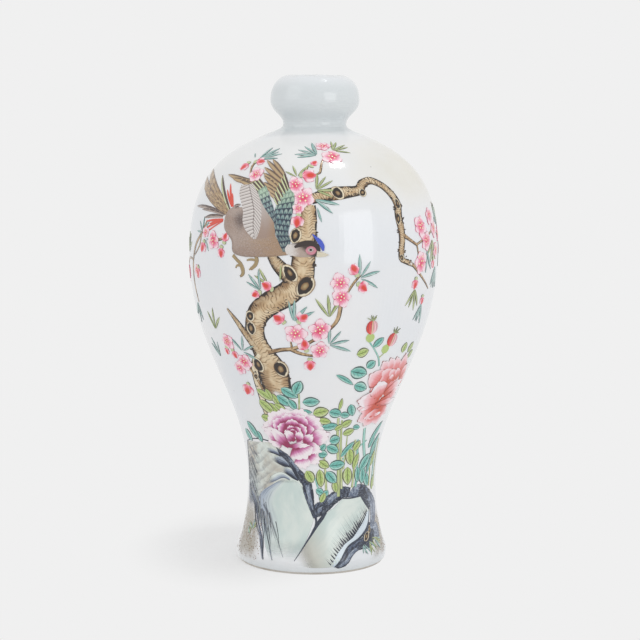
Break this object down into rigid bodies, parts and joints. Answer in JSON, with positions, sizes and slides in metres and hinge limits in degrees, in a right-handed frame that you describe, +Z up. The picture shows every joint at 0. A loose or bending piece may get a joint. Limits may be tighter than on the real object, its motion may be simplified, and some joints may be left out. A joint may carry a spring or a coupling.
{
  "type": "meiping vase",
  "caption": "Porcelain meiping vase with a bulb mouth, short neck, high full shoulder, drawn-in waist and splayed foot, painted with flowers, a bird and rocks.",
  "frame": {"origin": "middle of the plane that the foot ring stands on", "axes": "+Z up the vase's axis, towards the mouth; the painted front faces -Y"},
  "size_m": [0.1008, 0.1008, 0.1975],
  "materials": {
    "porcelain": "bare fired, matt",
    "slip": "bare fired, matt",
    "white_glaze": "glossy",
    "overglaze_enamel": "glossy, slightly raised"
  },
  "bodies": {
    "root": {"mouth_section": "porcelain", "neck_luting_slip": "slip", "shoulder_section": "porcelain", "belly_luting_slip": "slip", "flank_section": "porcelain", "waist_luting_slip": "slip", "foot_section": "porcelain", "outer_glaze": "white_glaze", "inner_glaze": "white_glaze", "base_glaze": "white_glaze"}
  },
  "joints": []
}
